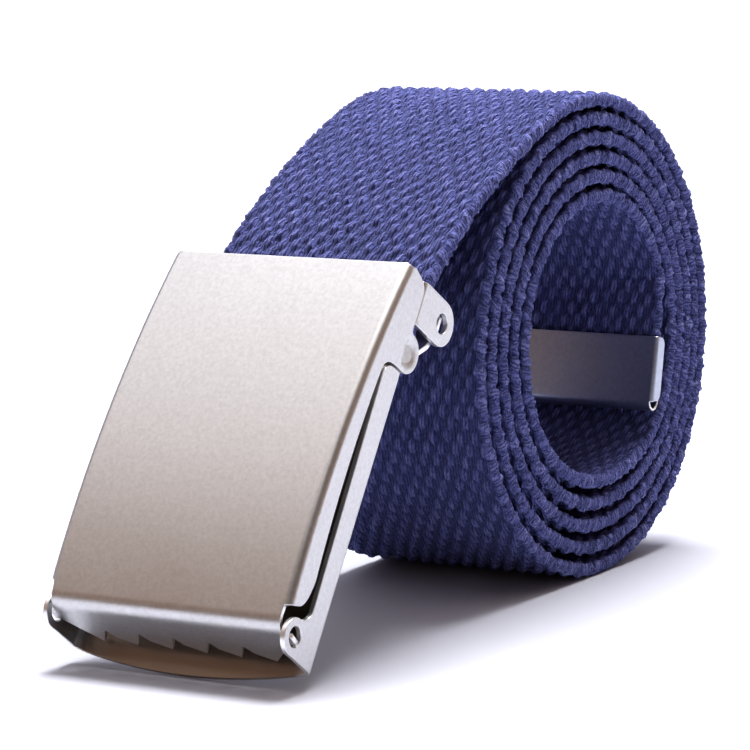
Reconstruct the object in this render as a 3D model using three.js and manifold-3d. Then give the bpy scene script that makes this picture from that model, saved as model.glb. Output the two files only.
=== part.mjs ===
// A canvas web belt, rolled up: cotton webbing in a coil that stands on its round side, with a
// flip-top buckle leaning on the floor in front of it and a folded metal tip inside the coil.
// Millimetres, +Z up, X across the webbing, the buckle towards -Y, the floor at Z = 0.
import * as THREE from 'three';
import { mergeVertices } from 'three/addons/utils/BufferGeometryUtils.js';
import Module from 'manifold-3d';

const wasm = await Module();
wasm.setup();

// Driving dimensions

const GAP = 0.3;                 // clearance between neighbouring pieces

// webbing
const WEB_WIDTH = 38;
const WEB_THICK = 2.3;
const WEB_EDGE = 0.7;            // rounding of the woven edges
const WEB_IN_TIP = 1.7;          // pressed flat inside the tip

// coil: how far the layers lie apart, all round, and how tight it is near the tip
const COIL_RADIUS = 38.97;       // outer surface at the top of the first turn
const LAYER_SLACK = 0.83;        // mean gap between two layers
const SLACK_TOP = -0.19;         // more or less of it at the top
const SLACK_BACK = -0.33;        // on the far side from the buckle
const SLACK_OVAL = 0.1;          // and at the top and bottom alike
const TIP_PUSH = 0.3;            // the layers behind the tip are pressed together
const TIP_PUSH_SPREAD = 25;      // degrees to each side
const FULL_TURNS = 5;            // from the top of the coil to the last pass over the top
const LEAVES_AT = 20;            // degrees before the top where the strap leaves the coil
const STEPS_PER_TURN = 36;

// tip: a flat sleeve, seen from the coil's centre
const TIP_LENGTH = 12;
const TIP_SHEET = 0.4;
const TIP_CLEAR = 0.75;          // the tip's lower end is this far inside the last layer's curve
const TIP_DIRECTION = 101.8;     // degrees from the top, where the tip's plane is nearest
const TIP_STARTS_AT = 96;        // degrees from the top
const TIP_FLOOR = 0.9;           // empty depth below the strap's end
const TIP_BEND = 0.5;            // how softly the strap turns into the tip
const TIP_ROUND = 0.6;           // outside of its side folds

// buckle frame, one folded sheet
const SHEET = 0.8;
const BEND_RADIUS = 1.2;         // outside of a fold
const FRAME_LENGTH = 61.4;
const FRAME_LEAN = 33.8;         // degrees from upright
const FRAME_FOOT_Y = -86.7;      // where the lower corners stand, from the coil's centre
const FOOT_BULGE = 2.4;          // the lower edge is a shallow arc
const WALL_CLEAR = 0.8;          // from the strap's edge to a wall
const WALL_HEIGHT = 5.1;         // at its upper end, above the base plate's back
const WALL_FOOT_HEIGHT = 4.5;    // beside the lower ears
const WALL_DOWN = 15;            // walls end here, down from the frame's upper end
const WALL_CORNER = 2.2;         // rounding of their upper ends
const EAR_NOTCH = 1.9;           // from the lower ear's round to the wall's full height
const PIVOT_UP = 3;              // cover's pivot, up from the foot
const PIVOT_HEIGHT = 7;          // and in front of the base plate's back
const LOWER_EAR = 2.75;          // radius
const UPPER_EAR = 3.4;           // radius, round the jaw's pivot
const JAW_DEPTH = 6.8;           // pivot's depth behind the base plate's back
const HOLE = 1.5;                // radius of all four ear holes

// buckle cover, one folded sheet
const COVER_BEYOND = 0.1;        // its upper end, beyond the frame's
const COVER_TOP_HEIGHT = 6.1;    // outer face above the base plate's back, at the upper end
const COVER_FOOT = 4.9;          // where it rolls over
const COVER_FOOT_HEIGHT = 10.4;
const COVER_ARCH = 2.1;          // rise in the middle
const FLANGE_LOW = 5.6;          // flange's lower edge above the base plate's back
const FLANGE_FOOT = 6.9;         // where the flange starts, up from the foot
const FLANGE_ROUND = 5;          // length of the rounded corner there
const FOLD_DEPTH = 1.4;          // what is left of the fold below that
const FLANGE_AT_EARS = 0.75;     // lower edge beside the upper ears
const FLANGE_TOP_ROUND = 3;      // length of the rounded corner at the upper end
const LOBE_DOWN = 11.6;          // hooked lobe on each flange, down from the frame's upper end
const LOBE_HEIGHT = 0.3;
const LOBE_RADIUS = 3;
const LOBE_FILLET = 2;           // from the lobe to the flange's lower edge
const LIP_REACH = 1.25;          // how near the teeth come to the base plate's back
const LIP_FOOT = 1.4;            // where the teeth end, up from the foot
const LIP_ROLL = 1.7;            // radius of the roll
const TOOTH_PITCH = 5.9;
const TOOTH_DEPTH = 1.4;
const TOOTH_COUNT = 5;
const TOOTH_SHIFT = 0.4;         // the row of teeth lies a little to the right
const TOOTH_STEEP = 0.5;         // width of a tooth's steep side
const TAB_WIDTH = 2.1;           // pivot tab, a flat tongue in a round hole

// strap jaw
const JAW_ABOVE = 1.6;           // back leaf, above the pivot
const JAW_FOLD_DOWN = 3.6;       // where it folds towards the strap, below the pivot
const JAW_BEND = 0.8;            // length of the bend to each side of the fold
const JAW_TOOTH = 1;
const JAW_PITCH = 3.1;
const JAW_NOTCH = 2.36;          // width of a notch between two teeth

// free run of the strap, from the jaw to the coil
const STRAP_END_DOWN = 14;       // strap's fixed end, down from the frame's upper end
const STRAP_FLAT = 4.5;          // flat on the back of the base plate, before it bends away
const PULL_AT_COIL = 0.36;       // how far it keeps to its direction at the coil
const PULL_AT_BUCKLE = 0.25;     // and at the buckle, as shares of the run

// Worked out from them

const rad = THREE.MathUtils.degToRad;
const innerHalf = WEB_WIDTH / 2 + WALL_CLEAR;            // inside of the frame's walls
const outerHalf = innerHalf + SHEET;                     // outside of the walls and the cover's flanges
const leafHalf = innerHalf - GAP;                        // between the walls or flanges: lip, upper plate
const jawHalf = WEB_WIDTH / 2;                           // jaw between the upper ears
const earHalf = jawHalf + GAP + SHEET;                   // outside of the upper ears
const wallTop = FRAME_LENGTH - WALL_DOWN;
const jawUp = FRAME_LENGTH - UPPER_EAR;                  // jaw's pivot, up from the foot
const coverTop = FRAME_LENGTH + COVER_BEYOND;
const lobeUp = FRAME_LENGTH - LOBE_DOWN;

// Small tools

function toSolid(geometry, tolerance = 1e-4) {
  const g = geometry.clone();
  g.deleteAttribute('normal');
  g.deleteAttribute('uv');
  const m = mergeVertices(g, tolerance);
  return new wasm.Manifold(new wasm.Mesh({
    numProp: 3,
    vertProperties: new Float32Array(m.attributes.position.array),
    triVerts: new Uint32Array(m.index.array),
  }));
}

function toGeometry(solid) {
  const mesh = solid.getMesh();
  const g = new THREE.BufferGeometry();
  g.setAttribute('position', new THREE.BufferAttribute(new Float32Array(mesh.vertProperties), 3));
  g.setIndex(new THREE.BufferAttribute(new Uint32Array(mesh.triVerts), 1));
  return g;
}

// An outline in the (a, b) plane, extruded from low to high along the third axis:
// 'v' takes (x, up), 'x' takes (up, v), 'up' takes (x, v).
function prism(shape, low, high, along, curveSegments = 10) {
  const g = new THREE.ExtrudeGeometry(shape, { depth: high - low, bevelEnabled: false, curveSegments });
  g.translate(0, 0, low);
  const x = new THREE.Vector3(1, 0, 0);
  const y = new THREE.Vector3(0, 1, 0);
  const z = new THREE.Vector3(0, 0, 1);
  if (along === 'x') g.applyMatrix4(new THREE.Matrix4().makeBasis(y, z, x));
  if (along === 'up') g.applyMatrix4(new THREE.Matrix4().makeBasis(x, z, y.negate()));
  return toSolid(g);
}

function polygon(points) {
  return new THREE.Shape(points.map(([a, b]) => new THREE.Vector2(a, b)));
}

// A closed solid through equal rings of points, with flat ends.
function loft(rings) {
  const n = rings[0].length;
  const position = rings.flat().flatMap((p) => [p.x, p.y, p.z]);
  const index = [];
  for (let i = 0; i < rings.length - 1; i++) {
    for (let j = 0; j < n; j++) {
      const a = i * n + j;
      const b = i * n + ((j + 1) % n);
      index.push(a, b, a + n, b, b + n, a + n);
    }
  }
  const flat = (ring) => {
    const o = ring[0];
    const ex = ring[1].clone().sub(o).normalize();
    const normal = new THREE.Vector3();
    ring.forEach((p, k) => normal.add(p.clone().cross(ring[(k + 1) % n])));
    const ey = normal.normalize().cross(ex);
    return ring.map((p) => new THREE.Vector2(p.clone().sub(o).dot(ex), p.clone().sub(o).dot(ey)));
  };
  const last = (rings.length - 1) * n;
  for (const [a, b, c] of THREE.ShapeUtils.triangulateShape(flat(rings[0]), [])) index.push(a, c, b);
  for (const [a, b, c] of THREE.ShapeUtils.triangulateShape(flat(rings[rings.length - 1]), [])) {
    index.push(last + a, last + b, last + c);
  }
  const g = new THREE.BufferGeometry();
  g.setAttribute('position', new THREE.Float32BufferAttribute(position, 3));
  g.setIndex(index);
  return g;
}

// A rounded rectangle about the origin, counter-clockwise.
function roundedRectangle(width, height, radius, steps) {
  const points = [];
  const cx = width / 2 - radius;
  const cy = height / 2 - radius;
  [[cx, cy, 0], [-cx, cy, 90], [-cx, -cy, 180], [cx, -cy, 270]].forEach(([x, y, start]) => {
    for (let k = 0; k <= steps; k++) {
      const a = rad(start + (90 * k) / steps);
      points.push([x + radius * Math.cos(a), y + radius * Math.sin(a)]);
    }
  });
  return points;
}

// The strap's route in the YZ plane, with the coil's centre at (0, 0)

// Distance between two layers in a direction, in degrees from the top towards +Y.
function layerPitch(degrees) {
  const fromTip = THREE.MathUtils.euclideanModulo(degrees - TIP_DIRECTION - 23 + 180, 360) - 180;
  return WEB_THICK + LAYER_SLACK + SLACK_TOP * Math.cos(rad(degrees)) + SLACK_BACK * Math.sin(rad(degrees))
    + SLACK_OVAL * Math.cos(rad(2 * degrees)) - TIP_PUSH * Math.exp(-((fromTip / TIP_PUSH_SPREAD) ** 2));
}

// Middle of the strap at an angle wound on from the top. Near its end the strap turns into the
// straight line of the tip: the lesser of the two radii, with the corner between them rounded.
function coilRadius(degrees) {
  const beyond = degrees - 360 * FULL_TURNS - TIP_DIRECTION;
  const spiral = spiralRadius(degrees);
  if (beyond < -60) return spiral;
  const line = tipDistance / Math.cos(rad(beyond));
  return -TIP_BEND * Math.log(Math.exp(-spiral / TIP_BEND) + Math.exp(-line / TIP_BEND));
}

function spiralRadius(degrees) {
  return COIL_RADIUS - WEB_THICK / 2 - (degrees / 360) * layerPitch(degrees);
}

function coilPoint(degrees) {
  const r = coilRadius(degrees);
  return new THREE.Vector2(r * Math.sin(rad(degrees)), r * Math.cos(rad(degrees)));
}

// The tip: its plane's distance from the coil's centre, and where the strap enters it and ends.
// The distance is the one that puts the tip's lower end on a circle just inside the last layer.
const tipSlant = Math.tan(rad(TIP_DIRECTION - TIP_STARTS_AT));
const tipCircle = spiralRadius(360 * FULL_TURNS + TIP_DIRECTION) - TIP_CLEAR;
const tipRoot = (1 + tipSlant ** 2) * tipCircle ** 2 - TIP_LENGTH ** 2;
const tipDistance = (TIP_LENGTH * tipSlant + Math.sqrt(tipRoot)) / (1 + tipSlant ** 2);
const tipStart = 360 * FULL_TURNS + TIP_STARTS_AT;
const tipEnd = 360 * FULL_TURNS + TIP_DIRECTION + THREE.MathUtils.radToDeg(Math.atan(
  TIP_LENGTH / tipDistance - tipSlant));

// The coil rests on the floor at its lowest layer, half a turn on from the top.
let lowest = 0;
for (let a = 120; a < 240; a++) {
  lowest = Math.min(lowest, (coilRadius(a) + WEB_THICK / 2) * Math.cos(rad(a)));
}
const coilHeight = -lowest;

// The frame's place: up is along the base plate, v is out of its front face.
const lean = rad(FRAME_LEAN);
const foot = new THREE.Vector2(FRAME_FOOT_Y, FOOT_BULGE * Math.cos(lean) - coilHeight);
const upward = new THREE.Vector2(Math.sin(lean), Math.cos(lean));
const outward = new THREE.Vector2(-Math.cos(lean), Math.sin(lean));
const onFrame = (up, v) => foot.clone().addScaledVector(upward, up).addScaledVector(outward, v);

// The strap lies flat on the back of the base plate, then bends away towards the coil.
const strapEnd = FRAME_LENGTH - STRAP_END_DOWN;
const bendsAt = strapEnd + STRAP_FLAT;
const strapBack = -(GAP + WEB_THICK / 2);

// Free run: one cubic from the coil to the bend behind the base plate.
function freeRun() {
  const start = coilPoint(-LEAVES_AT);
  const along = coilPoint(-LEAVES_AT - 0.5).sub(start).normalize();
  const end = onFrame(bendsAt, strapBack);
  const reach = start.distanceTo(end);
  return new THREE.CubicBezierCurve(
    start,
    start.clone().addScaledVector(along, reach * PULL_AT_COIL),
    end.clone().addScaledVector(upward, reach * PULL_AT_BUCKLE),
    end,
  );
}

// The whole route, from the clamped end to the tip, with the strap's thickness at each station.
function strapRoute() {
  const route = [{ at: onFrame(strapEnd, strapBack), thick: WEB_THICK }];
  const run = freeRun();
  const steps = 22;
  for (let i = steps; i > 0; i--) route.push({ at: run.getPoint(i / steps), thick: WEB_THICK });
  const first = -LEAVES_AT;
  const step = 360 / STEPS_PER_TURN;
  for (let a = first; a < tipStart - step / 2; a += step) route.push({ at: coilPoint(a), thick: WEB_THICK });
  const inTip = 6;
  for (let i = 0; i <= inTip; i++) {
    route.push({ at: coilPoint(tipStart + ((tipEnd - tipStart) * i) / inTip), thick: WEB_IN_TIP });
  }
  // the strap stops short of the tip's folded end
  const last = route[route.length - 1].at;
  const before = route[route.length - 2].at;
  last.addScaledVector(last.clone().sub(before).normalize(), -(TIP_SHEET + TIP_FLOOR + GAP));
  return route;
}

function webbing() {
  const route = strapRoute();
  const rings = route.map(({ at, thick }, i) => {
    const before = route[Math.max(i - 1, 0)].at;
    const after = route[Math.min(i + 1, route.length - 1)].at;
    const along = after.clone().sub(before).normalize();
    const out = new THREE.Vector2(along.y, -along.x);
    return roundedRectangle(WEB_WIDTH, thick, Math.min(WEB_EDGE, thick / 2.6), 2).map(([x, n]) =>
      new THREE.Vector3(x, at.x + out.x * n, at.y + out.y * n));
  });
  return loft(rings);
}

// The tip: a sleeve of sheet round the strap's end, open above and folded shut below

function strapTip() {
  const middle = WEB_IN_TIP / 2 + GAP;
  const outer = middle + TIP_SHEET;
  const half = WEB_WIDTH / 2 + GAP;
  const box = (halfX, halfN, round, low, high) => toSolid(loft([low, high].map((z) =>
    roundedRectangle(2 * halfX, 2 * halfN, round, 3).map(([x, n]) => new THREE.Vector3(x, n, z)))));
  const sleeve = box(half + TIP_SHEET, outer, TIP_ROUND, 0, TIP_LENGTH);
  const hollow = box(half, middle, TIP_ROUND / 2, -1, TIP_LENGTH - TIP_SHEET - GAP);
  const a = coilPoint(tipStart);
  const b = coilPoint(tipEnd);
  const along = b.clone().sub(a).normalize();
  const out = new THREE.Vector2(along.y, -along.x);
  const g = toGeometry(sleeve.subtract(hollow));
  g.applyMatrix4(new THREE.Matrix4().set(
    1, 0, 0, 0,
    0, out.x, along.x, a.x,
    0, out.y, along.y, a.y,
    0, 0, 0, 1));
  return g;
}

// The buckle, drawn with its base plate flat: x across, up along it, v out of its front

// A folded channel's section: a floor with two walls, its folds rounded outside and inside.
function channelSection(half, sheet, height) {
  const r = BEND_RADIUS;
  const s = new THREE.Shape();
  s.moveTo(-half, height);
  s.lineTo(-half, r);
  s.absarc(-half + r, r, r, Math.PI, 1.5 * Math.PI, false);
  s.lineTo(half - r, 0);
  s.absarc(half - r, r, r, 1.5 * Math.PI, 2 * Math.PI, false);
  s.lineTo(half, height);
  s.lineTo(half - sheet, height);
  s.lineTo(half - sheet, r);
  s.absarc(half - r, r, r - sheet, 2 * Math.PI, 1.5 * Math.PI, true);
  s.lineTo(-half + r, sheet);
  s.absarc(-half + r, r, r - sheet, 1.5 * Math.PI, Math.PI, true);
  s.closePath();
  return s;
}

function disc(up, v, radius, low, high) {
  const s = new THREE.Shape();
  s.absarc(up, v, radius, 0, 2 * Math.PI, false);
  return prism(s, low, high, 'x', 14);
}

function buckleFrame() {
  const reach = FRAME_LENGTH + 5;
  const earTop = PIVOT_HEIGHT + LOWER_EAR;
  const forward = prism(channelSection(outerHalf, SHEET, earTop + 1), -reach, 5, 'up', 4);
  const backward = prism(channelSection(earHalf, SHEET, JAW_DEPTH + UPPER_EAR + 3), -reach, 5, 'up', 4)
    .mirror([0, 0, 1]).translate([0, 0, SHEET]);

  // seen from the side: walls, lower ears, then the bare base plate up to the upper end
  const side = new THREE.Shape();
  side.moveTo(-5, -1);
  side.lineTo(FRAME_LENGTH, -1);
  side.lineTo(FRAME_LENGTH, SHEET);
  side.lineTo(wallTop, SHEET);
  side.lineTo(wallTop, WALL_HEIGHT - WALL_CORNER);
  side.absarc(wallTop - WALL_CORNER, WALL_HEIGHT - WALL_CORNER, WALL_CORNER, 0, Math.PI / 2, false);
  side.lineTo(PIVOT_UP + LOWER_EAR + EAR_NOTCH, WALL_FOOT_HEIGHT);
  side.lineTo(PIVOT_UP + LOWER_EAR, PIVOT_HEIGHT);
  side.absarc(PIVOT_UP, PIVOT_HEIGHT, LOWER_EAR, 0, Math.PI, false);
  side.lineTo(PIVOT_UP - LOWER_EAR, SHEET);
  side.lineTo(-5, SHEET);
  side.closePath();

  // seen from the front: straight sides, narrower above the walls, and a lower edge that bulges
  const edgeRadius = (outerHalf ** 2 + FOOT_BULGE ** 2) / (2 * FOOT_BULGE);
  const swing = Math.asin(outerHalf / edgeRadius);
  const plan = new THREE.Shape();
  const earFoot = jawUp - UPPER_EAR;
  const flatHalf = earHalf - BEND_RADIUS;
  const right = [[outerHalf, wallTop], [leafHalf, wallTop], [leafHalf, earFoot], [flatHalf, earFoot],
    [flatHalf, FRAME_LENGTH]];
  plan.moveTo(outerHalf, wallTop);
  right.slice(1).forEach(([x, up]) => plan.lineTo(x, up));
  right.toReversed().forEach(([x, up]) => plan.lineTo(-x, up));
  plan.lineTo(-outerHalf, 0);
  plan.absarc(0, edgeRadius - FOOT_BULGE, edgeRadius, 1.5 * Math.PI - swing, 1.5 * Math.PI + swing, false);
  plan.closePath();

  const ear = new THREE.Shape();
  ear.moveTo(FRAME_LENGTH, SHEET);
  ear.lineTo(earFoot, SHEET);
  ear.lineTo(earFoot, -JAW_DEPTH);
  ear.absarc(jawUp, -JAW_DEPTH, UPPER_EAR, Math.PI, 2 * Math.PI, false);
  ear.closePath();

  const wide = outerHalf + 2;
  const plate = forward
    .intersect(prism(side, -wide, wide, 'x'))
    .intersect(prism(plan, -2, earTop + 3, 'v', 12));
  return toGeometry(plate
    .add(backward.intersect(prism(ear, -wide, wide, 'x')))
    .subtract(disc(PIVOT_UP, PIVOT_HEIGHT, HOLE, -wide, wide))
    .subtract(disc(jawUp, -JAW_DEPTH, HOLE, -wide, wide)));
}

// The cover's outer face from its upper end (0) to where it rolls over (1), in the side view.
function coverFace(share) {
  const rise = 4 * COVER_ARCH * share * (1 - share);
  const along = new THREE.Vector2(COVER_FOOT - coverTop, COVER_FOOT_HEIGHT - COVER_TOP_HEIGHT);
  const out = new THREE.Vector2(along.y, -along.x).normalize();
  const top = new THREE.Vector2(coverTop, COVER_TOP_HEIGHT);
  return top.addScaledVector(along, share).addScaledVector(out, rise);
}

function coverNormal(share) {
  const along = coverFace(share + 0.01).sub(coverFace(share - 0.01)).normalize();
  return new THREE.Vector2(along.y, -along.x);
}

// The lip: from the cover's foot through the roll to the teeth, as the middle line of the sheet.
const lipTop = coverFace(1).addScaledVector(coverNormal(1), -SHEET / 2);
const lipEnd = new THREE.Vector2(LIP_FOOT, LIP_REACH);
const lipCorner = new THREE.Vector2(COVER_FOOT - LIP_ROLL, lipTop.y + 0.12);
const lipLine = lipCorner.clone().sub(lipEnd).normalize();

function buckleCover() {
  // arched plate with deep flanges, cut back to the flange's outline
  const deep = 16;
  const stations = 10;
  const section = channelSection(outerHalf, SHEET, deep).getPoints(4);
  if (section[0].distanceTo(section[section.length - 1]) < 1e-6) section.pop();
  const plate = toSolid(loft([...Array(stations + 1).keys()].map((i) => {
    const share = i / stations;
    const at = coverFace(share);
    const n = coverNormal(share);
    return section.map((p) => new THREE.Vector3(p.x, at.x - n.x * p.y, at.y - n.y * p.y)).reverse();
  })));
  const side = new THREE.Shape();
  const high = 20;
  side.moveTo(coverTop + 4, high);
  side.lineTo(COVER_FOOT - 6, high);
  side.lineTo(COVER_FOOT - 6, COVER_FOOT_HEIGHT - FOLD_DEPTH);
  side.lineTo(FLANGE_FOOT, COVER_FOOT_HEIGHT - FOLD_DEPTH);
  side.quadraticCurveTo(FLANGE_FOOT + 0.4, FLANGE_LOW + 0.8, FLANGE_FOOT + FLANGE_ROUND, FLANGE_LOW + 0.4);
  const lobeFoot = lobeUp - LOBE_RADIUS;
  side.lineTo(lobeFoot - LOBE_FILLET, FLANGE_LOW);
  side.quadraticCurveTo(lobeFoot, FLANGE_LOW, lobeFoot, LOBE_HEIGHT + LOBE_FILLET);
  side.lineTo(lobeFoot, LOBE_HEIGHT);
  side.absarc(lobeUp, LOBE_HEIGHT, LOBE_RADIUS, Math.PI, 2 * Math.PI, false);
  side.lineTo(lobeUp + LOBE_RADIUS, FLANGE_AT_EARS);
  side.lineTo(coverTop - FLANGE_TOP_ROUND, FLANGE_AT_EARS);
  side.quadraticCurveTo(coverTop - 1, FLANGE_AT_EARS, coverTop - 0.6, COVER_TOP_HEIGHT - 2.7);
  side.lineTo(coverTop + 4, COVER_TOP_HEIGHT);
  side.closePath();
  const wide = outerHalf + 2;
  const folded = plate.intersect(prism(side, -wide, wide, 'x', 8));

  // rolled lip, as wide as fits between the ears
  const roll = 5;
  const path = [coverFace(0.94).addScaledVector(coverNormal(0.94), -SHEET / 2), lipTop];
  const rolled = lipCorner.clone().addScaledVector(lipLine, -LIP_ROLL);
  const corner = new THREE.QuadraticBezierCurve(lipTop, lipCorner, rolled);
  for (let i = 1; i <= roll; i++) path.push(corner.getPoint(i / roll));
  path.push(lipEnd.clone().addScaledVector(lipLine, 1.2 * TOOTH_DEPTH));
  const lip = bentStrip(path, leafHalf, SHEET - 0.02);

  // flat end of the lip with its tabs and teeth, drawn as (x, distance up from the tips)
  const tab = lineReach(lipEnd, lipLine, PIVOT_HEIGHT);
  const tabUp = lipCorner.distanceTo(lipEnd) - LIP_ROLL;
  const points = [[leafHalf, tabUp], [-leafHalf, tabUp], [-leafHalf, tab + TAB_WIDTH / 2],
    [-outerHalf, tab + TAB_WIDTH / 2], [-outerHalf, tab - TAB_WIDTH / 2], [-leafHalf, tab - TAB_WIDTH / 2]];
  for (let k = 0; k < TOOTH_COUNT; k++) {
    const x = (k - TOOTH_COUNT / 2) * TOOTH_PITCH + TOOTH_SHIFT;
    points.push([x, 0], [x + TOOTH_STEEP, TOOTH_DEPTH]);
  }
  points.push([(TOOTH_COUNT / 2) * TOOTH_PITCH + TOOTH_SHIFT, 0], [leafHalf, tab - TAB_WIDTH / 2],
    [outerHalf, tab - TAB_WIDTH / 2], [outerHalf, tab + TAB_WIDTH / 2], [leafHalf, tab + TAB_WIDTH / 2]);
  const across = new THREE.Vector2(-lipLine.y, lipLine.x);
  const teeth = toGeometry(prism(polygon(points), -SHEET / 2, SHEET / 2, 'v'));
  teeth.applyMatrix4(new THREE.Matrix4().set(
    1, 0, 0, 0,
    0, lipLine.x, across.x, lipEnd.x,
    0, lipLine.y, across.y, lipEnd.y,
    0, 0, 0, 1));
  const cut = tab + lipEnd.y;
  const below = prism(polygon([[-high, -high], [high, -high], [high, cut], [-high, cut]]), -wide, wide, 'x');
  return toGeometry(folded.add(lip.subtract(below)).add(toSolid(teeth)));
}

// Distance along a line from its start to a given v.
function lineReach(start, direction, v) {
  return (v - start.y) / direction.y;
}

// A strip of sheet along a middle line in the side view, from -half to half across.
function bentStrip(path, half, sheet) {
  return toSolid(loft(path.map((p, i) => {
    const along = path[Math.min(i + 1, path.length - 1)].clone().sub(path[Math.max(i - 1, 0)]).normalize();
    const n = new THREE.Vector2(along.y, -along.x);
    return [[1, 1], [-1, 1], [-1, -1], [1, -1]].map(([sx, sn]) =>
      new THREE.Vector3(sx * half, p.x + (n.x * sn * sheet) / 2, p.y + (n.y * sn * sheet) / 2));
  })));
}

function strapJaw() {
  const back = -(JAW_DEPTH + 0.1);
  const fold = new THREE.Vector2(jawUp - JAW_FOLD_DOWN, back);
  // the teeth end just clear of the strap; the leaf slopes there at 45 degrees
  const bite = -(2 * GAP + WEB_THICK + SHEET / 2 * Math.SQRT1_2);
  const end = new THREE.Vector2(fold.x - (bite - back), bite);
  const slope = fold.clone().sub(end).normalize();
  const upper = new THREE.Vector2(jawUp + JAW_ABOVE, back);
  const bendStart = fold.clone().add(new THREE.Vector2(JAW_BEND, 0));
  const bendEnd = fold.clone().addScaledVector(slope, -JAW_BEND);
  const leaf = bentStrip([upper, bendStart, bendEnd, end], jawHalf, SHEET);
  const low = jawUp - TAB_WIDTH / 2;
  const high = jawUp + TAB_WIDTH / 2;
  const tongue = polygon([[-earHalf, low], [earHalf, low], [earHalf, high], [-earHalf, high]]);
  const tab = prism(tongue, back - SHEET / 2, back + SHEET / 2, 'v');
  // notches between the jaw's teeth
  let jaw = leaf.add(tab);
  const count = Math.floor((2 * jawHalf) / JAW_PITCH);
  for (let k = 0; k < count; k++) {
    const x = (k - (count - 1) / 2) * JAW_PITCH;
    const wedge = [[x - JAW_NOTCH / 2, end.x - 2], [x + JAW_NOTCH / 2, end.x - 2], [x, end.x + JAW_TOOTH]];
    jaw = jaw.subtract(prism(polygon(wedge), back, 0, 'v'));
  }
  return toGeometry(jaw);
}

// The assembly

function sheetMetal(name, geometry, color) {
  const nickel = new THREE.MeshStandardMaterial({ color, roughness: 0.38, metalness: 1 });
  const mesh = new THREE.Mesh(geometry, nickel);
  mesh.name = name;
  return mesh;
}

const belt = new THREE.Group();

const coil = new THREE.Group();
coil.position.set(0, 0, coilHeight);
const cotton = new THREE.MeshStandardMaterial({ color: 0x3a3c78, roughness: 0.92, metalness: 0 });
const strap = new THREE.Mesh(webbing(), cotton);
strap.name = 'webbing';
coil.add(strap, sheetMetal('strap_tip', strapTip(), 0xc6c5c6));

const buckle = new THREE.Group();
buckle.position.set(0, foot.x, foot.y + coilHeight);
buckle.rotation.x = Math.PI / 2 - lean;
buckle.add(
  sheetMetal('buckle_frame', buckleFrame(), 0xb9b7b6),
  sheetMetal('buckle_cover', buckleCover(), 0xc4c2c3),
  sheetMetal('strap_jaw', strapJaw(), 0xaaa8a8),
);

belt.add(coil, buckle);

// The origin is under the middle of the whole thing's box.
belt.updateMatrixWorld(true);
const box = new THREE.Box3().setFromObject(belt, true);
const middle = box.getCenter(new THREE.Vector3());
belt.position.set(-middle.x, -middle.y, -box.min.z);

export default belt;
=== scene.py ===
import math

import bpy
import numpy as np
from mathutils import Matrix, Vector
from mathutils.geometry import delaunay_2d_cdt


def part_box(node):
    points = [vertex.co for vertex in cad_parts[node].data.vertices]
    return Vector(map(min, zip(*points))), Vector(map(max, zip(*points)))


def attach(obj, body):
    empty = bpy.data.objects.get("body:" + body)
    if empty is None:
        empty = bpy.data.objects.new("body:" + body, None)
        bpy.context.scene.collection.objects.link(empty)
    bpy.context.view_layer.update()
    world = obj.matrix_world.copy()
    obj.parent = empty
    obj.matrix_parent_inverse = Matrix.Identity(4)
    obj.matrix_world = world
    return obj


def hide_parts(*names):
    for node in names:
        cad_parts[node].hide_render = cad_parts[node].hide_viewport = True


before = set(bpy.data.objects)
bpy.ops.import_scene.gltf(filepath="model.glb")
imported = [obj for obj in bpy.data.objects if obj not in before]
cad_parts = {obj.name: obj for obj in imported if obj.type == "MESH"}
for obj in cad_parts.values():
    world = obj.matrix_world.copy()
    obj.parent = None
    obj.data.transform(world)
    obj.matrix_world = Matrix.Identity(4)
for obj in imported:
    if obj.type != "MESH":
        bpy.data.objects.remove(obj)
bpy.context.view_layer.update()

MM = 0.001
GAP = 0.3

# Webbing and the way it is rolled, as in the solids
WEB_WIDTH = 38.0
WEB_THICK = 2.3
WEB_IN_TIP = 1.7
COIL_RADIUS = 38.97
LAYER_SLACK = 0.83
SLACK_TOP = -0.19
SLACK_BACK = -0.33
SLACK_OVAL = 0.1
TIP_PUSH = 0.3
TIP_PUSH_SPREAD = 25.0
FULL_TURNS = 5
LEAVES_AT = 20.0
STRAP_END_DOWN = 14.0
STRAP_FLAT = 4.5
PULL_AT_COIL = 0.36
PULL_AT_BUCKLE = 0.25

# Metal tip
TIP_LENGTH = 12.0
TIP_SHEET = 0.4
TIP_CLEAR = 0.75
TIP_DIRECTION = 101.8
TIP_STARTS_AT = 96.0
TIP_FLOOR = 0.9
TIP_BEND = 0.5
TIP_FLAP = 2.5                 # side flaps that wrap the strap's edges
TIP_SIDE_FOLD = 0.5

# Buckle
SHEET = 0.8
BEND_RADIUS = 1.2
WALL_CLEAR = 0.8
FRAME_LENGTH = 61.4
FRAME_LEAN = 33.8
FRAME_FOOT_Y = -86.7
FOOT_BULGE = 2.4
WALL_HEIGHT = 5.1
WALL_FOOT_HEIGHT = 4.5
WALL_DOWN = 15.0
WALL_CORNER = 2.2
EAR_NOTCH = 1.9
PIVOT_UP = 3.0
PIVOT_HEIGHT = 7.0
LOWER_EAR = 2.75
UPPER_EAR = 3.4
JAW_DEPTH = 6.8
HOLE = 1.5
COVER_BEYOND = 0.1
COVER_TOP_HEIGHT = 6.1
COVER_FOOT = 4.9
COVER_FOOT_HEIGHT = 10.4
COVER_ARCH = 2.1
FLANGE_LOW = 5.6
FLANGE_FOOT = 6.9
FLANGE_ROUND = 5.0
FLANGE_AT_EARS = 0.75
LOBE_DOWN = 11.6
LOBE_HEIGHT = 0.3
LOBE_RADIUS = 3.0
LOBE_DISH = 0.75               # the lobe is pressed in from a straight crease, and rises to its rim
LOBE_RIM = 0.55
LOBE_CREASE = 1.5              # height of the crease above the base plate's back
UP_STEP = np.array([0.05, 0])
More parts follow.
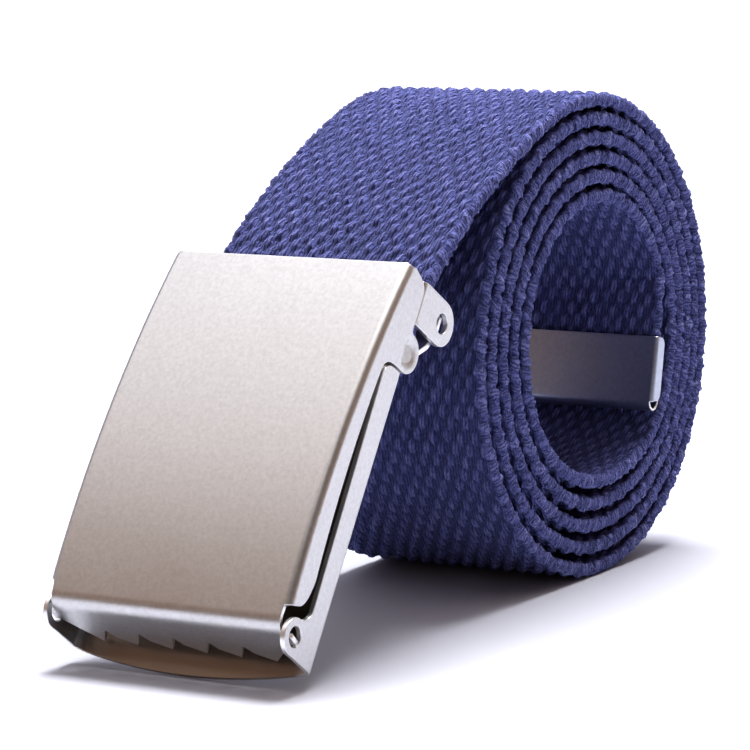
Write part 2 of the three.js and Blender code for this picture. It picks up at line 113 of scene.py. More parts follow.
LIP_REACH = 1.25
LIP_FOOT = 1.4
LIP_ROLL = 1.7
TOOTH_PITCH = 5.9
TOOTH_DEPTH = 3.0
TOOTH_SLANT = 1.6              # the steep side of a notch leans over by this
TOOTH_COUNT = 5
TAB_WIDTH = 2.1
JAW_LEAF = 5.0
JAW_TOOTH = 1.0
JAW_PITCH = 3.1
JAW_TAB_SHORT = 0.55           # the jaw's pivot tabs end inside their holes
CUT_EDGE = 0.14                # rounding that barrel finishing leaves on cut sheet

# Weave: a plain weave of thick plied cotton
WARPS = 30
WARP_PITCH = WEB_WIDTH / WARPS
ROW_PITCH = 2.1
RINGS_PER_ROW = 7
CROWN_SLANT = 10.0             # degrees, the lie of a crown
CROWN_HALF_WIDTH = 0.68
CROWN_HALF_LENGTH = 1.32
CROWN_SHIFT = (0.17, 0.28)     # how far a crown may sit off its place, across and along
UNEVEN_HEIGHT = 0.16           # share by which crowns and loops differ in height
LOOP_REACH = 0.53              # half the length of a loop, in rows
PLY_ACROSS = 5                 # strands of the plied yarn: five to a period across
PLY_ALONG = -1                 # and one to a period along, so that they lie alike on every crown
WEAVE_DEPTH = 0.55
FUZZ_DEPTH = 0.08              # unevenness of the hairy yarn
SELVAGE_ROUND = 0.95
SELVAGE_DEPTH = 0.28
SELVAGE_SLANT = 0.85
EDGE_WOVEN = 3.4               # where a layer lies on a face, it is woven this far in from each edge
COIL_STEPS = 9000
FACE_STEPS = 240

outer_half = WEB_WIDTH / 2 + WALL_CLEAR + SHEET
leaf_half = WEB_WIDTH / 2 + WALL_CLEAR - GAP
jaw_half = WEB_WIDTH / 2
ear_half = jaw_half + GAP + SHEET
wall_top = FRAME_LENGTH - WALL_DOWN
jaw_up = FRAME_LENGTH - UPPER_EAR
cover_top = FRAME_LENGTH + COVER_BEYOND
lobe_up = FRAME_LENGTH - LOBE_DOWN


# The strap's route, in the (Y, Z) plane with the coil's centre at (0, 0)

def layer_pitch(degrees):
    """Distance between two layers: the thickness and a slack that varies round the coil."""
    turn = np.radians(degrees)
    from_tip = np.mod(degrees - TIP_DIRECTION - 23 + 180, 360) - 180
    slack = LAYER_SLACK + SLACK_TOP * np.cos(turn) + SLACK_BACK * np.sin(turn)
    slack += SLACK_OVAL * np.cos(2 * turn) - TIP_PUSH * np.exp(-(from_tip / TIP_PUSH_SPREAD) ** 2)
    return WEB_THICK + slack


def spiral_radius(degrees):
    """Middle of the strap: one layer pitch nearer the centre with each turn."""
    return COIL_RADIUS - WEB_THICK / 2 - degrees / 360 * layer_pitch(degrees)


def coil_point(degrees):
    """The spiral, which near its end turns into the tip's straight line by a soft minimum."""
    degrees = np.asarray(degrees, float)
    beyond = degrees - 360 * FULL_TURNS - TIP_DIRECTION
    spiral = spiral_radius(degrees)
    line = tip_distance / np.cos(np.radians(np.clip(beyond, -60, 60)))
    soft = -TIP_BEND * np.log(np.exp(-spiral / TIP_BEND) + np.exp(-line / TIP_BEND))
    radius = np.where(beyond < -60, spiral, soft)
    turn = np.radians(degrees)
    return np.stack([radius * np.sin(turn), radius * np.cos(turn)], -1)


tip_turns = 360 * FULL_TURNS
tip_slant = math.tan(math.radians(TIP_DIRECTION - TIP_STARTS_AT))
tip_circle = float(spiral_radius(tip_turns + TIP_DIRECTION)) - TIP_CLEAR
tip_root = (1 + tip_slant ** 2) * tip_circle ** 2 - TIP_LENGTH ** 2
tip_distance = (TIP_LENGTH * tip_slant + math.sqrt(tip_root)) / (1 + tip_slant ** 2)
tip_start = tip_turns + TIP_STARTS_AT
tip_end = tip_turns + TIP_DIRECTION + math.degrees(math.atan(TIP_LENGTH / tip_distance - tip_slant))

lower_half = np.arange(120.0, 240.0)
coil_height = -float(((spiral_radius(lower_half) + WEB_THICK / 2) * np.cos(np.radians(lower_half))).min())
far_side = np.linspace(0, 180, 721)
coil_reach = float(((spiral_radius(far_side) + WEB_THICK / 2) * np.sin(np.radians(far_side))).max())
COIL_CENTRE = np.array([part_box("webbing")[1].y / MM - coil_reach, coil_height])

lean = math.radians(FRAME_LEAN)
UPWARD = np.array([math.sin(lean), math.cos(lean)])
OUTWARD = np.array([-math.cos(lean), math.sin(lean)])
FOOT = np.array([FRAME_FOOT_Y, FOOT_BULGE * math.cos(lean) - coil_height])


def on_frame(up, out):
    """A point of the buckle's side view, in the route's plane."""
    return FOOT + np.multiply.outer(up, UPWARD) + np.multiply.outer(out, OUTWARD)


def unit(v):
    """Vectors of length one along the last axis."""
    return v / np.linalg.norm(v, axis=-1, keepdims=True)


def free_run(steps):
    """Cubic Bezier from the bend behind the base plate to where the strap joins the coil."""
    start = coil_point(-LEAVES_AT)
    along = unit(coil_point(-LEAVES_AT - 0.5) - start)
    end = on_frame(FRAME_LENGTH - STRAP_END_DOWN + STRAP_FLAT, -(GAP + WEB_THICK / 2))
    reach = np.linalg.norm(end - start)
    handles = start + along * reach * PULL_AT_COIL, end + UPWARD * reach * PULL_AT_BUCKLE
    t = np.linspace(1, 0, steps)[:, None]
    ends = (1 - t) ** 3 * start + t ** 3 * end
    return ends + 3 * (1 - t) ** 2 * t * handles[0] + 3 * (1 - t) * t ** 2 * handles[1]


def strap_path():
    """The strap's middle line in even steps: points, directions, distances and the coil's start."""
    first = on_frame(FRAME_LENGTH - STRAP_END_DOWN, -(GAP + WEB_THICK / 2))[None]
    run = free_run(200)
    coil_turns = np.linspace(-LEAVES_AT, tip_end, COIL_STEPS)
    coil = coil_point(coil_turns)
    points = np.vstack([first, run, coil[1:]])
    distance = np.concatenate([[0], np.cumsum(np.linalg.norm(np.diff(points, axis=0), axis=1))])
    total = distance[-1] - TIP_SHEET - TIP_FLOOR - GAP
    rings = int(total / (ROW_PITCH / RINGS_PER_ROW))
    s = np.linspace(0, total, rings + 1)
    path = np.stack([np.interp(s, distance, points[:, k]) for k in (0, 1)], -1)
    along = unit(np.gradient(path, axis=0))
    turns = np.concatenate([np.full(len(first) + len(run), -LEAVES_AT), coil_turns[1:]])
    return path, along, s, np.interp(s, distance, turns)


# Small mesh and material tools

def new_mesh(name, vertices, faces, body, material, normals=None, uv=None, values=None):
    """A mesh object from arrays in millimetres, on its body, with what a material reads."""
    mesh = bpy.data.meshes.new(name)
    mesh.from_pydata((vertices * MM).tolist(), [], faces)
    mesh.shade_smooth()
    for key, value in (values or {}).items():
        mesh.attributes.new(key, "FLOAT", "POINT").data.foreach_set("value", value.astype(np.float32))
    if uv is not None:
        corner = np.empty(len(mesh.loops), np.int32)
        mesh.loops.foreach_get("vertex_index", corner)
        layer = mesh.uv_layers.new(name="flat")
        layer.uv.foreach_set("vector", uv[corner].astype(np.float32).ravel())
    if normals is not None:
        mesh.normals_split_custom_set_from_vertices(normals.tolist())
    mesh.materials.append(material)
    piece = bpy.data.objects.new(name, mesh)
    bpy.context.scene.collection.objects.link(piece)
    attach(piece, body)
    return piece


def grid_faces(rows, columns, closed):
    """Quads between neighbouring rows of points, closed round each row if asked."""
    row = np.arange(rows - 1)[:, None] * columns
    column = np.arange(columns if closed else columns - 1)[None]
    beside = (column + 1) % columns
    quads = np.stack([row + column, row + beside, row + columns + beside, row + columns + column], -1)
    return quads.reshape(-1, 4)


def linear(colour):
    """An sRGB hex colour as linear RGBA."""
    value = np.array([int(colour[k:k + 2], 16) for k in (1, 3, 5)]) / 255
    value = np.where(value <= 0.04045, value / 12.92, ((value + 0.055) / 1.055) ** 2.4)
    return (*value.tolist(), 1.0)


def add_node(tree, kind, links=None, **settings):
    """A node with its settings; links maps an input to a value or to another node's output."""
    node = tree.nodes.new(kind)
    for key, value in settings.items():
        setattr(node, key, value)
    for key, value in (links or {}).items():
        if isinstance(value, bpy.types.NodeSocket):
            tree.links.new(value, node.inputs[key])
        else:
            node.inputs[key].default_value = value
    return node


def new_material(name):
    """An empty node material with its output and shader."""
    material = bpy.data.materials.new(name)
    material.use_nodes = True
    tree = material.node_tree
    tree.nodes.clear()
    shader = add_node(tree, "ShaderNodeBsdfPrincipled")
    add_node(tree, "ShaderNodeOutputMaterial", {"Surface": shader.outputs[0]})
    return material, tree, shader


def ramp(tree, factor, stops):
    """A colour ramp through (position, hex colour) stops."""
    node = add_node(tree, "ShaderNodeValToRGB", {"Fac": factor})
    elements = node.color_ramp.elements
    while len(elements) < len(stops):
        elements.new(0.5)
    for element, (position, colour) in zip(elements, stops):
        element.position = position
        element.color = linear(colour)
    return node.outputs["Color"]


# Materials

def woven_cotton():
    """Navy cotton, reactive dyed and woven of plied yarn: matt, fibrous, with painted shade that makes it
    darker between the yarns.
    """
    material, tree, shader = new_material("woven_navy_cotton")
    flat = add_node(tree, "ShaderNodeUVMap", uv_map="flat").outputs[0]
    height = add_node(tree, "ShaderNodeAttribute", attribute_name="height").outputs["Fac"]
    shade = add_node(tree, "ShaderNodeAttribute", attribute_name="shade").outputs["Fac"]

    def math_node(operation, *values):
        """A sum or product of values or node outputs."""
        return add_node(tree, "ShaderNodeMath", dict(enumerate(values)), operation=operation).outputs[0]

    # strands: ridges across the yarn at the angle of its twist, in step with the weave
    split = add_node(tree, "ShaderNodeSeparateXYZ", {0: flat})
    wander = add_node(tree, "ShaderNodeTexNoise", {"Vector": flat, "Scale": 0.9, "Detail": 1.0})
    sideways = math_node("MULTIPLY", split.outputs["X"], PLY_ACROSS / (2 * WARP_PITCH))
    lengthways = math_node("MULTIPLY_ADD", split.outputs["Y"], PLY_ALONG / (2 * ROW_PITCH), sideways)
    phase = math_node("MULTIPLY_ADD", wander.outputs["Fac"], 0.7, math_node("SUBTRACT", lengthways, 0.6))
    ridge = math_node("ABSOLUTE", math_node("SINE", math_node("MULTIPLY", phase, math.pi)))
    # on the looped edges the strands lie round the edge instead
    loop = add_node(tree, "ShaderNodeAttribute", attribute_name="loop").outputs["Fac"]
    lying = math_node("MULTIPLY", split.outputs["Y"], 1.45)
    round_edge = math_node("MULTIPLY_ADD", split.outputs["X"], 0.45, lying)
    wavy = math_node("MULTIPLY_ADD", wander.outputs["Fac"], 2.8, round_edge)
    loop_ridge = math_node("ABSOLUTE", math_node("SINE", math_node("MULTIPLY", wavy, math.pi)))
    ridge = add_node(tree, "ShaderNodeMix", {"Factor": loop, "A": ridge, "B": loop_ridge}).outputs["Result"]
    # fibres: streaks about 0.2 mm wide that follow the strands
    turned = add_node(tree, "ShaderNodeMapping", {
        "Vector": flat, "Rotation": (0, 0, math.radians(82)), "Scale": (0.8, 0.22, 1)}, vector_type="TEXTURE")
    fibres = add_node(tree, "ShaderNodeTexNoise", {
        "Vector": turned.outputs[0], "Scale": 1.3, "Detail": 4.0, "Roughness": 0.85}).outputs["Fac"]
    # uneven dye and wear, in patches about 10 mm wide
    patches = add_node(tree, "ShaderNodeTexNoise", {
        "Vector": flat, "Scale": 0.1, "Detail": 3.0}).outputs["Fac"]
    # lint: a few pale specks about 0.3 mm wide
    dust = add_node(tree, "ShaderNodeTexNoise", {"Vector": flat, "Scale": 1.9, "Detail": 1.0}).outputs["Fac"]
    lint = add_node(tree, "ShaderNodeMapRange", {
        "Value": dust, "From Min": 0.8, "From Max": 0.84}).outputs[0]

    relief = math_node("MULTIPLY_ADD", ridge, 0.9, fibres)
    # painted shade: the colour is darker where the weave is low and in the grooves between strands
    tone = math_node("MULTIPLY_ADD", height, 0.44, math_node("MULTIPLY", ridge, 0.42))
    tone = math_node("MULTIPLY_ADD", shade, 0.14, tone)
    tone = math_node("MULTIPLY_ADD", fibres, 1.7, tone)
    tone = math_node("MULTIPLY_ADD", patches, 0.3, tone)
    tone = math_node("MULTIPLY_ADD", lint, 0.9, tone)
    level = add_node(tree, "ShaderNodeMapRange", {"Value": tone, "From Min": 0.68, "From Max": 2.28})
    colour = ramp(tree, level.outputs[0], (
        (0.0, "#1B213A"), (0.35, "#363E6C"), (0.62, "#6168AC"), (0.85, "#8C92D2"), (1.0, "#C0C8EC")))
    strands = add_node(tree, "ShaderNodeBump", {"Height": relief, "Distance": 0.42 * MM, "Strength": 1.0})
    tree.links.new(colour, shader.inputs["Base Color"])
    tree.links.new(strands.outputs[0], shader.inputs["Normal"])
    shader.inputs["Roughness"].default_value = 0.92
    shader.inputs["IOR"].default_value = 1.5
    shader.inputs["Specular IOR Level"].default_value = 0.2
    shader.inputs["Sheen Weight"].default_value = 0.3
    shader.inputs["Sheen Roughness"].default_value = 0.5
    shader.inputs["Sheen Tint"].default_value = linear("#A8ACE6")
    return material


def blasted_nickel(name, colour, roughness, grain):
    """Steel sheet, bead blasted and nickel plated: a soft grey gloss broken by a fine even grain."""
    material, tree, shader = new_material(name)
    place = add_node(tree, "ShaderNodeTexCoord")
    # blasting leaves pits of about 0.05 mm, drawn five times coarser so that they show
    pits = add_node(tree, "ShaderNodeTexNoise", {
        "Vector": place.outputs["Object"], "Scale": 0.4 / (0.25 * MM), "Detail": 2.0, "Roughness": 0.7})
    # rubbing in use: clouds about 12 mm wide
    clouds = add_node(tree, "ShaderNodeTexNoise", {
        "Vector": place.outputs["Object"], "Scale": 1 / (12 * MM), "Detail": 3.0, "Roughness": 0.55})
    edge = add_node(tree, "ShaderNodeAttribute", attribute_name="edge").outputs["Fac"]
    tone = ramp(tree, pits.outputs["Fac"], ((0.3, colour[0]), (0.7, colour[1])))
    # the rounded cut edges take the third, lighter colour: a painted highlight
    painted_edge_highlight = add_node(tree, "ShaderNodeMix", {
        "Factor": edge, 6: tone, 7: linear(colour[2])}, data_type="RGBA")
    gloss = add_node(tree, "ShaderNodeMapRange", {
        "Value": clouds.outputs["Fac"], "To Min": roughness - 0.035, "To Max": roughness + 0.035})
    relief = add_node(tree, "ShaderNodeBump", {
        "Height": pits.outputs["Fac"], "Distance": 0.02 * MM, "Strength": grain})
    inside = add_node(tree, "ShaderNodeAttribute", attribute_name="inside").outputs["Fac"]
    dulled = add_node(tree, "ShaderNodeMix", {
        "Factor": inside, 6: painted_edge_highlight.outputs[2], 7: linear(colour[3])}, data_type="RGBA")
    tree.links.new(dulled.outputs[2], shader.inputs["Base Color"])
    tree.links.new(gloss.outputs[0], shader.inputs["Roughness"])
    tree.links.new(relief.outputs[0], shader.inputs["Normal"])
    shader.inputs["Metallic"].default_value = 1.0
    return material


# Webbing

def crown_heights(x, s, side, table):
    """Height from 0 to 1 of a plain-woven face, and each yarn crown's own shade.

    Every warp yarn rises over one weft and dives under the next, and its neighbours are half a
    period on. A crown is a dome: the root of one minus the squares of the distances along and
    across its slanted axis, and the face is the highest of the domes round a point.
    """
    slant = math.radians(CROWN_SLANT)
    column = np.floor(x / WARP_PITCH)
    height = np.zeros(np.broadcast(x, s).shape)
    shade = np.full_like(height, 0.5)
    for beside in (-1, 0, 1):
        warp = column + beside
        phase = np.mod(warp + side, 2)
        row = np.round((s / ROW_PITCH - phase) / 2)
        in_table = np.mod(warp, table.shape[1]).astype(int), np.mod(row, table.shape[2]).astype(int)
        chance = table[:, in_table[0], in_table[1]]
        u = x - (warp + 0.5) * WARP_PITCH - CROWN_SHIFT[0] * chance[0]
        v = s - (2 * row + phase) * ROW_PITCH - CROWN_SHIFT[1] * chance[1]
        across = (u * math.cos(slant) - v * math.sin(slant)) / CROWN_HALF_WIDTH
        lengthwise = (u * math.sin(slant) + v * math.cos(slant)) / CROWN_HALF_LENGTH
        dome = np.sqrt(np.clip(1 - across ** 2 - lengthwise ** 2, 0, 1)) * (1 + UNEVEN_HEIGHT * chance[2])
        shade = np.where(dome > height, 0.5 + 0.5 * chance[3], shade)
        height = np.maximum(height, dome)
    return height, shade


def selvage_heights(turn, s, side, table):
    """Height from 0 to 1 of the weft loops that wrap an edge, one to a row, leaning as they turn."""
    phase = s / ROW_PITCH + SELVAGE_SLANT * turn + 0.5 * side
    loop = np.round(phase)
    chance = table[:, 0, np.mod(loop, table.shape[2]).astype(int)]
    from_crest = (phase - loop - 0.06 * chance[0]) / LOOP_REACH
    # the weft turns here on every second row, and that loop stands higher
    higher = 0.12 * (1 - 2 * np.mod(loop, 2))
    dome = np.sqrt(np.clip(1 - from_crest ** 2, 0, 1)) * (1 + higher + UNEVEN_HEIGHT * chance[1])
    return dome, 0.5 + 0.5 * chance[2]


def face_columns(dense):
    """Places across a face: all of it fine, or only near the edges where a layer lies on it."""
    inner = WEB_WIDTH / 2 - SELVAGE_ROUND
    step = WARP_PITCH / 5
    if dense:
        return np.linspace(-inner, inner, int(round(2 * inner / step)) + 1)
    shown = np.linspace(inner - EDGE_WOVEN, inner, 12)
    return np.concatenate([-shown[::-1], [-4.0, 4.0], shown])


def round_section(front, edge, back, far_edge):
    """One row of values round the strap's section: outer face, right edge, inner face, left edge."""
    return np.concatenate([front, edge, back, far_edge])


def webbing_piece(name, path, along, s, half, dense_out, dense_in, material, table):
    """A stretch of the strap: a section with two woven faces and two looped edges, carried along.

    Each point of the section has a place across (x), a share of the half thickness, which is its
    outward direction off the strap too, and a push across, which is its outward direction sideways.
    The relief of the weave moves it along those two.
    """
    front = face_columns(dense_out)
    back = face_columns(dense_in)[::-1]
    turn = np.linspace(0, 1, 9)[1:-1]
    flat = WEB_WIDTH / 2 - SELVAGE_ROUND
    sine, cosine = np.sin(turn * math.pi), np.cos(turn * math.pi)
    x = round_section(front, flat + SELVAGE_ROUND * sine, back, -flat - SELVAGE_ROUND * sine)
    share = round_section(np.ones_like(front), cosine, -np.ones_like(back), -cosine)
    push_x = round_section(0 * front, sine, 0 * back, -sine)
    edge_turn = round_section(0 * front, turn, 0 * back, turn)
    shown = round_section(0 * front + dense_out, 0 * turn + 1, 0 * back + dense_in, 0 * turn + 1)
    near_edge = np.clip((np.abs(x) - (flat - EDGE_WOVEN - 0.2)) / 0.8, 0, 1)
    shown = np.maximum(shown, near_edge)

    side = np.where(share > 0, 0, 1)
    seen_x = np.where(share > 0, x, -x)
    face, face_shade = crown_heights(seen_x[None], s[:, None], side[None], table)
    loops, loop_shade = selvage_heights(edge_turn[None], s[:, None], np.where(x > 0, 0, 1)[None], table)
    weight = np.clip(np.abs(push_x) * 1.6, 0, 1)[None] ** 2
    height = (face * (1 - weight) + loops * weight) * shown + 0.6 * (1 - shown)
    shade = face_shade * (1 - weight) + loop_shade * weight
    depth = WEAVE_DEPTH * (1 - weight) + SELVAGE_DEPTH * weight
    hairs = np.random.default_rng(len(s)).normal(0, 1, height.shape)
    uneven = (hairs + np.roll(hairs, 1, axis=0) + np.roll(hairs, 1, axis=1)) / 1.7
    level = 0.85 - 0.5 * weight
    relief = depth * (height - level) * (half / (WEB_THICK / 2))[:, None]
    relief = relief + FUZZ_DEPTH * (1 + 0.5 * weight) * uneven * shown
    height = np.clip(height + UNEVEN_HEIGHT * uneven, 0, 1.3)

    out = np.stack([-along[:, 1], along[:, 0]], -1)
    n = share[None] * half[:, None] + share[None] * relief
    across = x[None] + push_x[None] * relief
    plane = path[:, None] + out[:, None] * n[..., None] + COIL_CENTRE
    vertices = np.concatenate([across[..., None], plane], -1)
    rows, count = across.shape
    faces = grid_faces(rows, count, True).tolist()
    faces.append(list(range(count))[::-1])
    faces.append(list(range((rows - 1) * count, rows * count)))
    # round an edge the flat measure grows by whole strands and a half, so that both faces are in step
    strand = 2 * WARP_PITCH / PLY_ACROSS
    edge_measure = (np.ceil((2 * flat + 2) / strand) + 0.5) * strand - 2 * flat
    around = round_section(front, flat + edge_measure * turn, 2 * flat + edge_measure - back,
                           3 * flat + edge_measure * (1 + turn))
    uv = np.stack(np.broadcast_arrays(around[None], s[:, None]), -1)
    piece = new_mesh(name, vertices.reshape(-1, 3), faces, "strap_and_frame", material,
                     uv=uv.reshape(-1, 2), values={
                         "height": height.ravel(), "shade": shade.ravel(),
                         "loop": np.broadcast_to(weight, height.shape).ravel()})
    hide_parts("webbing")
    return piece


def webbing(material):
    """The whole strap in stretches, fine where its faces show and only at the edges elsewhere."""
    path, along, s, turns = strap_path()
    table = np.random.default_rng(7).uniform(-1, 1, (4, WARPS + 8, 700))
    mouth = float(np.interp(tip_start, turns, s))
    half = WEB_THICK / 2 + (WEB_IN_TIP - WEB_THICK) / 2 * np.clip((s - mouth + 2.5) / 2.5, 0, 1)
    # name, first and last turn in degrees, outer face fine, inner face fine
    stretches = (
        ("webbing_run", -LEAVES_AT, -LEAVES_AT + 4, True, True),
        ("webbing_outer_turn_a", -LEAVES_AT + 4, 170, True, False),
        ("webbing_outer_turn_b", 170, 350, True, False),
        ("webbing_layers_a", 350, 1080, False, False),
        ("webbing_layers_b", 1080, 1480, False, False),
        ("webbing_inner_turn_a", 1480, 1660, False, True),
        ("webbing_inner_turn_b", 1660, tip_end + 1, False, True),
    )
    first = 0
    for name, _, until, outer, inner in stretches:
        last = int(np.searchsorted(turns, until)) if until < tip_end else len(s) - 1
        part = slice(first, last + 1)
        piece = webbing_piece(
            name, path[part], along[part], s[part], half[part], outer, inner, material, table)
        first = last


# Sheet metal: outlines cut from a flat sheet, with rounded edges, then folded

def arc(centre, radius, start, end, steps):
    """Points on a circle from one angle to another, in degrees."""
    angle = np.radians(np.linspace(start, end, steps))
    return np.stack([centre[0] + radius * np.cos(angle), centre[1] + radius * np.sin(angle)], -1)


def curve(a, b, c, steps):
    """Quadratic Bezier points from a to c, pulled towards b."""
    t = np.linspace(0, 1, steps)[:, None]
    return (1 - t) ** 2 * np.array(a) + 2 * (1 - t) * t * np.array(b) + t ** 2 * np.array(c)


def dense_outline(points, step):
    """The outline with points added on its long stretches, at most a step apart, and none double."""
    points = points[np.linalg.norm(points - np.roll(points, 1, axis=0), axis=1) > 1e-4]
    ahead = np.roll(points, -1, axis=0)
    counts = np.maximum(1, np.ceil(np.linalg.norm(ahead - points, axis=1) / step)).astype(int)
    stretches = []
    for start, end, count in zip(points, ahead, counts):
        stretches.append(start + (end - start) * np.linspace(0, 1, count, endpoint=False)[:, None])
    return np.vstack(stretches)


def outline_normals(points):
    """Direction out of the sheet at each point of an outline that has the sheet on its left."""
    before = unit(points - np.roll(points, 1, axis=0))
    after = unit(np.roll(points, -1, axis=0) - points)
    mean = before + after
    normal = unit(np.stack([mean[:, 1], -mean[:, 0]], -1))
    square = np.clip((normal * np.stack([after[:, 1], -after[:, 0]], -1)).sum(-1, keepdims=True), 0.5, 1)
    return normal, normal / square


def inside(points, loops):
    """Whether points lie inside the outer loop and outside the holes, by counting crossings."""
    crossings = np.zeros(len(points), int)
    for loop in loops:
        a, b = loop[None], np.roll(loop, -1, axis=0)[None]
        y = points[:, None, 1]
        spans = (a[..., 1] > y) != (b[..., 1] > y)
        rise = np.where(b[..., 1] == a[..., 1], 1, b[..., 1] - a[..., 1])
        cut = a[..., 0] + (y - a[..., 1]) / rise * (b[..., 0] - a[..., 0])
        crossings += (spans & (points[:, None, 0] < cut)).sum(1)
    return crossings % 2 == 1


def sheet_piece(name, loops, across_lines, along_lines, thickness, place, body, node, material,
                step=1.2, dull=None):
    """A cut and folded sheet.

    The rounded cut edge is a half-round profile carried along each outline, the two faces are
    filled between the outlines, and place() folds every flat point: it gives the point of the
    sheet's middle and the three directions there.
    """
    steps = 3
    swing = np.radians(np.linspace(0, 90, steps))
    lift = np.concatenate([thickness / 2 - CUT_EDGE * (1 - np.sin(swing[::-1])),
                           -thickness / 2 + CUT_EDGE * (1 - np.sin(swing))])
    inset = CUT_EDGE * (1 - np.concatenate([np.cos(swing[::-1]), np.cos(swing)]))
    tilt = np.concatenate([swing[::-1], -swing])
    flat, lifts, normals, faces, caps, base = [], [], [], [], [], 0
    for loop in loops:
        loop = dense_outline(loop, step)
        normal, reach = outline_normals(loop)
        count = len(loop)
        for k in range(2 * steps):
            flat.append(loop - reach * inset[k])
            lifts.append(np.full(count, lift[k]))
            normals.append(np.column_stack([normal * math.cos(tilt[k]), np.full(count, math.sin(tilt[k]))]))
        faces.append(base + grid_faces(2 * steps, count, True))
        caps.append((loop - reach * inset[0], base, base + (2 * steps - 1) * count))
        base += 2 * steps * count
    grid = np.stack(np.meshgrid(across_lines, along_lines), -1).reshape(-1, 2)
    rims = [cap[0] for cap in caps]
    distances = [np.linalg.norm(grid[:, None] - rim[None], axis=-1).min(axis=1) for rim in rims]
    from_rim = np.min(distances, axis=0)
    seeds = grid[inside(grid, rims) & (from_rim > 0.2)]
    flat_points = np.vstack(rims + [seeds])
    edges, start = [], 0
    for rim in rims:
        edges += [(start + k, start + (k + 1) % len(rim)) for k in range(len(rim))]
        start += len(rim)
    result = delaunay_2d_cdt([Vector(p) for p in flat_points], edges, [], 0, 1e-6)
    triangles = np.array(result[2])
    middle = np.array([list(v) for v in result[0]])[triangles].mean(1)
    triangles = triangles[inside(middle, rims)]
    origin = np.array([ids[0] for ids in result[3]])[triangles]
    seed_ids = base + np.arange(len(seeds))
    top = np.concatenate([cap[1] + np.arange(len(cap[0])) for cap in caps] + [seed_ids])
    low = np.concatenate([cap[2] + np.arange(len(cap[0])) for cap in caps] + [seed_ids + len(seeds)])
    flat = np.vstack(flat + [seeds, seeds])
    lifts = np.concatenate(lifts + [np.full(len(seeds), thickness / 2), np.full(len(seeds), -thickness / 2)])
    up = np.tile([0.0, 0.0, 1.0], (len(seeds), 1))
    normals = np.vstack(normals + [up, -up])

    point, ex, ey, ez = place(flat[:, 0], flat[:, 1])
    vertices = point + ez * lifts[:, None]
    normals = ex * normals[:, :1] + ey * normals[:, 1:2] + ez * normals[:, 2:]
    quads = np.vstack(faces)
    handed = np.sign(np.einsum("ij,ij->i", np.cross(ex, ey), ez).mean())
    if handed < 0:
        quads = quads[:, ::-1]
        origin = origin[:, ::-1]
    all_faces = quads[:, ::-1].tolist() + top[origin].tolist() + low[origin[:, ::-1]].tolist()
    edge = (np.abs(lifts) < thickness / 2 - 0.01).astype(float)
    values = {"edge": edge, "inside": np.zeros_like(edge) if dull is None else dull(flat[:, 0], lifts)}
    piece = new_mesh(name, vertices, all_faces, body, material, normals=unit(normals), values=values)
    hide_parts(node)
    return piece


def in_buckle(x, side):
    """Points (across, up, out) of the buckle as (X, Y, Z) in millimetres."""
    return np.column_stack([x, FOOT + COIL_CENTRE + side[:, :1] * UPWARD + side[:, 1:] * OUTWARD])


def turned(x, side):
    """Directions (across, up, out) of the buckle as (X, Y, Z)."""
    return np.column_stack([x, side[:, :1] * UPWARD + side[:, 1:] * OUTWARD])


def fold_across(p, half, radius):
    """Cross-section of a sheet with its sides folded: place across, depth, and the fold's angle."""
    start = half - radius - SHEET / 2
    bend = np.clip((np.abs(p) - start) / radius, 0, math.pi / 2)
    beyond = np.maximum(np.abs(p) - start - radius * math.pi / 2, 0)
    x = np.where(np.abs(p) < start, p, np.sign(p) * (start + radius * np.sin(bend)))
    return x, radius * (1 - np.cos(bend)) + beyond, bend


def mirrored(right):
    """A right half from the middle line round to the middle line again, made a whole outline."""
    left = right[::-1] * np.array([-1, 1])
    return np.vstack([right, left])


def hole(centre, radius):
    """A round hole, with the sheet on the left of its outline."""
    return arc(centre, radius, 360, 0, 29)[:-1]


FOLD = BEND_RADIUS - SHEET / 2
FOLD_LENGTH = FOLD * math.pi / 2
wall_at = outer_half - BEND_RADIUS + FOLD_LENGTH - BEND_RADIUS      # flat place of height 0 on a wall
ear_at = ear_half - BEND_RADIUS + FOLD_LENGTH - FOLD + SHEET / 2    # flat place of depth 0 on an upper ear


def place_frame(p, w):
    """Base plate flat, walls folded forward and, above them, the upper ears folded backward."""
    forward = w < jaw_up - UPPER_EAR - 0.25
    x_f, d_f, a_f = fold_across(p, outer_half, FOLD)
    x_b, d_b, a_b = fold_across(p, ear_half, FOLD)
    way = np.where(forward, 1, -1)
    x = np.where(forward, x_f, x_b)
    depth = np.where(forward, d_f, d_b)
    bend = np.where(forward, a_f, a_b)
    side = np.column_stack([w, SHEET / 2 + way * depth])
    zero = np.zeros_like(x)
    sign = np.sign(p)
    ex = turned(np.cos(bend), np.column_stack([zero, way * sign * np.sin(bend)]))
    ey = turned(zero, np.column_stack([zero + 1, zero]))
    ez = turned(-way * sign * np.sin(bend), np.column_stack([zero, np.cos(bend)]))
    return in_buckle(x, side), ex, ey, ez


